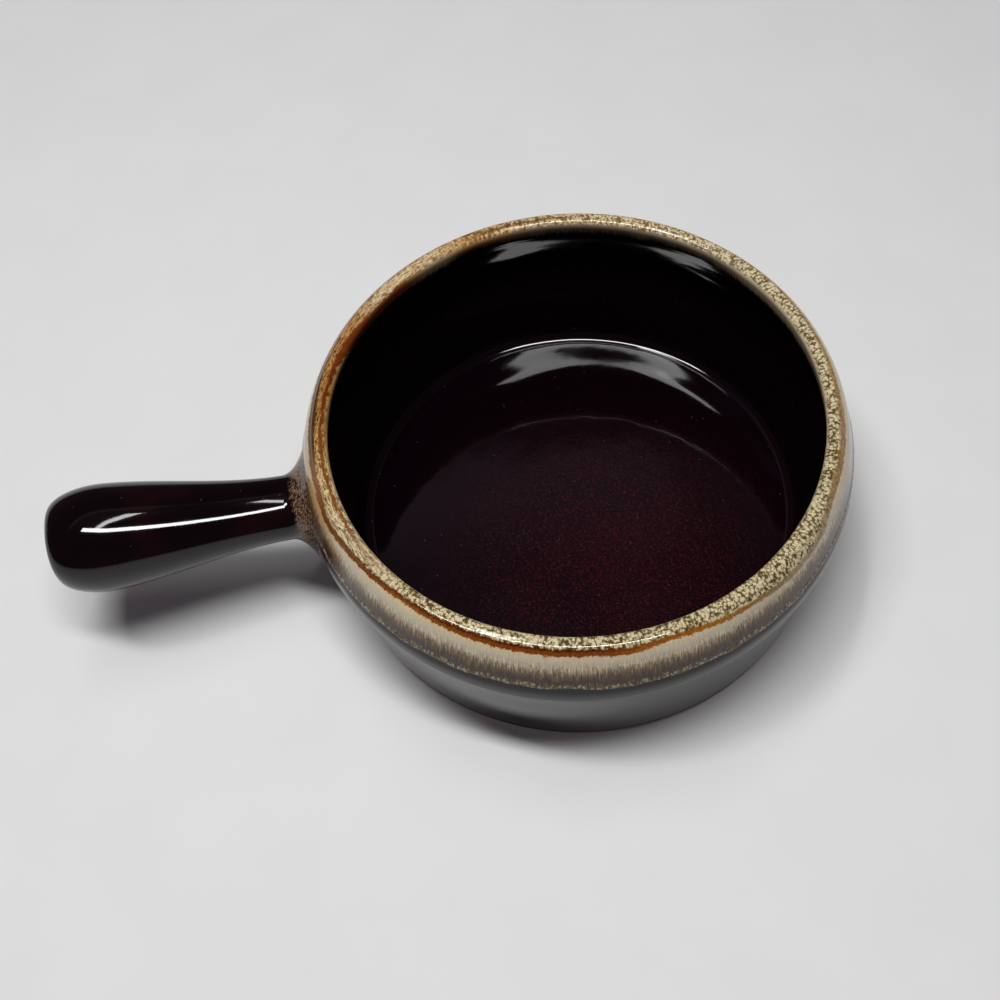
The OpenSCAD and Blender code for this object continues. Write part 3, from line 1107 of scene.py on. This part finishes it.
        def waved(place: Vector, run: float) -> Vector:
            """Lets the lower edge wander up and down the wall.

            Args:
                place: A vertex's place.
                run: Its run.

            Returns:
                The place it moves to.
            """
            share = eased((run - (out_run - self.edge_reach)) / self.edge_reach)
            if share <= 0:
                return place
            radius = math.hypot(place.x, place.y)
            turn = Vector((place.x / radius, place.y / radius, 0.0))
            wave = sum(strength * noise.noise(turn * size) for size, strength in self.edge_noises)
            height = max(place.z + wave * self.edge_wave * share, lowest)
            return turn * (self.radius(height) + radius - self.radius(place.z)) + Vector((0, 0, height))

        piece = Piece("rim_drip_glaze_coat")
        piece.spin(self.shell(out_run, in_run, rise, self.glaze_t / 2), self.steps)
        piece.shape(waved)
        piece.shape(self.rippled)
        piece.close()
        piece.make(self.glaze.material(Coat.DRIP), ["rim_drip_glaze"])

    def base_glaze(self) -> None:
        """The brown coat under the floor, which curls down a little to the foot ring."""
        face_z = self.foot_h - self.glaze_t
        shares = [k / self.base_rings for k in range(self.base_rings + 1)]
        points = [Vector((self.foot_in_r * share, face_z - self.base_curl * share ** self.curl_power))
                  for share in shares]
        points += [Vector((self.foot_in_r, self.foot_h)), Vector((0, self.foot_h))]
        piece = Piece("base_glaze_coat")
        piece.spin([(point, BEYOND) for point in points], self.steps, closed=False)
        piece.close()
        piece.make(self.glaze.material(Coat.OUTER), ["base_glaze"])

    def foot_ring(self, clay: BareClay) -> None:
        """The bare ring that the bowl stands on, with rounded lower edges.

        Args:
            clay: Its finish.
        """
        bevel = self.foot_bevel
        inner = arc(Vector((self.foot_in_r + bevel, bevel)), bevel, 180, 270, self.bevel_steps)
        outer = arc(Vector((self.foot_r - bevel, bevel)), bevel, 270, 360, self.bevel_steps)
        corners = [Vector((self.foot_in_r, self.foot_h)), *inner,
                   *outer, Vector((self.foot_r, self.foot_h))]
        piece = Piece("foot_ring_clay")
        piece.spin([(Vector((p.x, max(p.y, 0.0))), BEYOND) for p in corners], self.steps)
        piece.close()
        piece.make(clay.material(), ["foot_ring"])


@dataclass
class Handle:
    """The stick handle and the flared collar that joins it to the bowl."""

    bowl: Bowl
    tip: float = field(default_factory=lambda: -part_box("handle_glaze")[0].x)
    neck_out: float = 7.3 * MM
    neck_w: float = 25.6 * MM
    neck_t: float = 20.8 * MM
    grip_w: float = 41.2 * MM
    grip_t: float = 37.5 * MM
    flare_w: float = 52.0 * MM
    flare_t: float = 38.0 * MM
    flare_l: float = 10.0 * MM
    clay_flare_w: float = 48.0 * MM
    clay_flare_t: float = 35.0 * MM
    clear: float = 0.2 * MM
    blend: float = 0.8 * MM
    bury: float = 0.12 * MM
    end_l: float = 23.5 * MM
    end_flat: float = 0.53
    end_power: float = 2.4
    grip_share: float = 0.86
    root_drop: float = 3.9 * MM
    tip_rise: float = 3.8 * MM
    power: float = 2.2
    crown: float = 0.3 * MM
    crown_shares: tuple[float, ...] = (0.8, 0.55, 0.3, 0.12)
    seat_shares: tuple[float, ...] = (0.2, 0.86)
    sides: int = 128
    rings: int = 60
    end_rings: int = 26
    root_rings: int = 26

    def __post_init__(self) -> None:
        """Works out the stations along the handle."""
        self.neck = self.bowl.belly_r + self.neck_out
        self.end = self.tip - self.end_l
        self.grip = self.neck + (self.tip - self.neck) * self.grip_share
        self.neck_z = self.bowl.belly_z - self.root_drop
        self.climb = self.tip_rise / (self.tip - self.neck)

    def turn(self, k: int) -> tuple[float, float]:
        """The section's unit place sideways and up, by its number round the handle."""
        angle = math.tau * k / self.sides
        return squared(math.cos(angle), self.power), squared(math.sin(angle), self.power)

    def half(self, reach: float, neck: float, grip: float) -> float:
        """Half of a section's size at a reach from the bowl's axis.

        Args:
            reach: The reach.
            neck: The full size at the neck.
            grip: The full size at the grip.

        Returns:
            Half the size, rounded off towards the end.
        """
        size = neck + (grip - neck) * eased((reach - self.neck) / (self.grip - self.neck))
        past = min(max((reach - self.end) / self.end_l, 0.0), 1.0)
        rounding = (1 - past ** self.end_power) ** (1 / self.end_power)
        return size / 2 * (self.end_flat + (1 - self.end_flat) * rounding)

    def point(self, reach: float, k: int, shrink: float = 1.0) -> Vector:
        """A point of the stick's section.

        Args:
            reach: The section's reach from the bowl's axis.
            k: The point's number round the handle.
            shrink: The section's size as a share of the full one.

        Returns:
            The point.
        """
        side, up = self.turn(k)
        return Vector((-reach, shrink * self.half(reach, self.neck_w, self.grip_w) * side,
                       self.neck_z + self.climb * (reach - self.neck)
                       + shrink * self.half(reach, self.neck_t, self.grip_t) * up))

    def wall_point(self, k: int) -> Vector:
        """Where the drawn-out flare meets the wall, a hair under its surface.

        Args:
            k: The point's number round the handle.

        Returns:
            The point.
        """
        side, up = self.turn(k)
        y, z = self.flare_w / 2 * side, self.neck_z + self.flare_t / 2 * up
        radius = self.bowl.radius(z) - self.bury
        return Vector((-math.sqrt(radius * radius - y * y), y, z))

    def flare_point(self, k: int, share: float) -> Vector:
        """A point of the flare's skin, from the neck to where it runs out on the wall.

        Args:
            k: The point's number round the handle.
            share: How far it is along from the neck, 0 to 1.

        Returns:
            The point, never below the plain flare under it.
        """
        side, up = self.turn(k)
        bend = math.sin(math.pi / 2 * share)
        drawn = 1 - math.cos(math.pi / 2 * share)
        reach = self.neck - (self.neck + self.wall_point(k).x) * bend
        plain = min((self.neck - reach) / self.flare_l, 1.0) ** 2

        def outermost(neck: float, clay_flare: float, wide_flare: float) -> float:
            """The larger of two flares, softly blended: the drawn-out one and the clay's.

            Args:
                neck: The size at the neck.
                clay_flare: The clay's size at the wall.
                wide_flare: The drawn-out size at the wall.

            Returns:
                Half the size.
            """
            first = neck + (wide_flare - neck) * drawn
            second = neck + (clay_flare - neck) * plain + self.clear * bend
            return (first + second + math.hypot(first - second, self.blend * bend)) / 4

        return Vector((-reach, outermost(self.neck_w, self.clay_flare_w, self.flare_w) * side,
                       self.neck_z + self.climb * (reach - self.neck)
                       + outermost(self.neck_t, self.clay_flare_t, self.flare_t) * up))

    def handle_glaze(self) -> None:
        """The brown coat of the stick, closed and softly crowned at its end."""
        sections = [(self.neck, share, 0.0) for share in self.seat_shares]
        sections += [(self.neck + (self.end - self.neck) * i / self.rings, 1.0, 0.0)
                     for i in range(self.rings + 1)]
        sections += [(self.end + self.end_l * math.sin(math.pi / 2 * i / self.end_rings), 1.0, 0.0)
                     for i in range(1, self.end_rings + 1)]
        sections += [(self.tip, share, self.crown * (1 - share * share)) for share in self.crown_shares]

        def station(reach: float, shrink: float, lift: float) -> Station:
            """The section at a reach, shrunk, and lifted out along the stick."""
            return lambda k: (self.point(reach, k, shrink) - Vector((lift, 0, 0)), BEYOND)

        piece = Piece("handle_glaze_coat")
        last = piece.loft([station(*section) for section in sections], self.sides)
        bmesh.ops.contextual_create(piece.mesh, geom=last)
        bmesh.ops.holes_fill(piece.mesh, edges=[e for e in piece.mesh.edges if e.is_boundary], sides=0)
        piece.close()
        piece.make(self.bowl.glaze.material(Coat.HANDLE), ["handle_glaze"])

    def collar_drip_glaze(self) -> None:
        """The drip coat over the flare, drawn out tangent to the wall."""
        def station(i: int) -> Station:
            """The flare's ring by its number from the neck."""
            spots = [self.flare_point(k, i / self.root_rings) for k in range(self.sides)]
            return lambda k: (spots[k], self.bowl.run_at(spots[k].z))

        piece = Piece("collar_drip_glaze_coat")
        piece.loft([station(i) for i in range(self.root_rings + 1)], self.sides)
        bmesh.ops.solidify(piece.mesh, geom=piece.mesh.faces, thickness=self.bowl.glaze_t)
        piece.close()
        piece.make(self.bowl.glaze.material(Coat.COLLAR), ["collar_drip_glaze"])


@dataclass(frozen=True)
class Lamp:
    """A soft oblong lamp that faces down."""

    name: str
    at: tuple[float, float, float]
    turn: float
    size: tuple[float, float]
    watts: float

    def hang(self) -> None:
        """Hangs the lamp, with its length along its turn in degrees."""
        light = bpy.data.lights.new(self.name, "AREA")
        light.shape = "RECTANGLE"
        light.size, light.size_y = self.size
        light.energy = self.watts
        made = bpy.data.objects.new(self.name, light)
        made.matrix_world = Matrix.Translation(self.at) @ Matrix.Rotation(math.radians(self.turn), 4, "Z")
        bpy.context.scene.collection.objects.link(made)


@dataclass(frozen=True)
class Studio:
    """A pale table, a long soft lamp high over it, a dimmer one aside, dim surroundings, and the camera."""

    camera_at: tuple[float, float, float] = (-0.05497, -0.29659, 0.50530)
    azimuth: float = -10.67
    elevation: float = 58.226
    roll: float = -1.722
    lens: float = 50.4
    sensor: float = 36.0
    shift: tuple[float, float] = (-0.08135, -0.00587)
    near_clip: float = 0.01
    table_size: float = 6.0
    table_glow: float = 0.02
    table_tones: tuple[Colour, Colour] = (srgb(232, 233, 232), srgb(234, 235, 234))
    room_tone: Colour = (1.0, 0.74, 0.96, 1.0)
    lamps: tuple[Lamp, ...] = (Lamp("long_lamp", (-0.14, -0.10, 1.35), -28.0, (0.95, 0.15), 14.0),
                               Lamp("side_lamp", (-0.15, 0.27, 1.33), 63.0, (0.6, 0.08), 2.2))

    def table(self) -> None:
        """The table, whose plain white reaches all round."""
        mesh = bmesh.new()
        bmesh.ops.create_grid(mesh, x_segments=8, y_segments=8, size=self.table_size / 2)
        data = bpy.data.meshes.new("table")
        mesh.to_mesh(data)
        mesh.free()
        made = bpy.data.objects.new("table", data)
        bpy.context.scene.collection.objects.link(made)
        data.materials.append(self.table_top())

    def table_top(self) -> bpy.types.Material:
        """Makes the table's matt white, with a faint glow for rays that see it.

        Returns:
            The material.
        """
        graph = Graph(bpy.data.materials.new("white_table"))
        grain = graph.ease(graph.cloud(graph.place(), 40.0), 0.3, 0.7)
        cloth = graph.node("ShaderNodeBsdfDiffuse", {"Color": graph.blend(grain, *self.table_tones)})
        glow = graph.node("ShaderNodeEmission", {"Strength": self.table_glow})
        dark = graph.node("ShaderNodeEmission", {"Strength": 0.0})
        rays = graph.node("ShaderNodeLightPath").outputs
        mirrored = graph.math("MAXIMUM", rays["Is Glossy Ray"], rays["Is Transmission Ray"])
        seen = graph.math("MAXIMUM", rays["Is Camera Ray"], mirrored)
        lift = graph.node("ShaderNodeMixShader", {0: seen, 1: dark.outputs[0], 2: glow.outputs[0]})
        both = graph.node("ShaderNodeAddShader", {0: cloth.outputs[0], 1: lift.outputs[0]})
        graph.output("ShaderNodeOutputMaterial", both.outputs[0])
        return graph.owner

    def surroundings(self) -> None:
        """A dim room, whose ceiling is lighter in one patch high up behind the bowl."""
        world = bpy.data.worlds.new("room")
        graph = Graph(world)
        across, back, up = graph.split(graph.node("ShaderNodeTexCoord").outputs["Generated"])
        patch = graph.times(graph.ease(up, 0.824, 0.838, 0.0, 0.17), graph.ease(back, 0.1, 0.35, 0.1, 1.0),
                            graph.ease(up, 0.845, 0.88, 1.0, 0.35),
                            graph.ease(across, 0.12, 0.19, 1.0, 0.3))
        strength = graph.plus(patch, graph.ease(up, 0.0, 1.0, 0.05, 0.03))
        shine = graph.node("ShaderNodeBackground", {"Color": self.room_tone, "Strength": strength})
        graph.output("ShaderNodeOutputWorld", shine.outputs[0])
        bpy.context.scene.world = world

    def camera(self) -> None:
        """The camera at the photograph's place and angle."""
        data = bpy.data.cameras.new("camera")
        data.lens = self.lens
        data.sensor_width = self.sensor
        data.sensor_fit = "HORIZONTAL"
        data.shift_x, data.shift_y = self.shift
        data.clip_start = self.near_clip
        made = bpy.data.objects.new("camera", data)
        turn = (Matrix.Rotation(math.radians(self.azimuth), 4, "Z")
                @ Matrix.Rotation(math.radians(90 - self.elevation), 4, "X")
                @ Matrix.Rotation(math.radians(self.roll), 4, "Z"))
        made.matrix_world = Matrix.Translation(self.camera_at) @ turn
        bpy.context.scene.collection.objects.link(made)
        bpy.context.scene.camera = made

    def build(self) -> None:
        """Sets up the whole studio."""
        self.table()
        for lamp in self.lamps:
            lamp.hang()
        self.surroundings()
        self.camera()
        bpy.context.scene.view_settings.view_transform = "Standard"


def dress_clay(clay: BareClay) -> None:
    """Gives the clay under the glaze its finish, on the frame's own nodes.

    Args:
        clay: The finish.
    """
    material = clay.material()
    for node in ("bowl_body", "handle", "handle_collar"):
        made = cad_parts[node]
        made.data.materials.clear()
        made.data.materials.append(material)
        LOG.info("%s: clay", node)


def write_sizes() -> None:
    """Only defines a helper that turns a box into plain numbers; it writes nothing."""
    def plain(box: Sequence[Sequence[float]]) -> list[list[float]]:
        """A box as plain numbers."""
        return [[float(x) for x in corner] for corner in box]


def main() -> None:
    """Builds the studio and the bowl, piece by piece."""
    logging.basicConfig(level=logging.INFO, format="%(name)s: %(message)s")
    Studio().build()
    bowl = Bowl(Glaze())
    bowl.liner_glaze()
    bowl.outer_glaze()
    bowl.rim_drip_glaze()
    bowl.base_glaze()
    bowl.foot_ring(BareClay("bare_foot"))
    handle = Handle(bowl)
    handle.handle_glaze()
    handle.collar_drip_glaze()
    dress_clay(BareClay("stoneware_clay"))
    write_sizes()


if __name__ == "__main__":
    main()
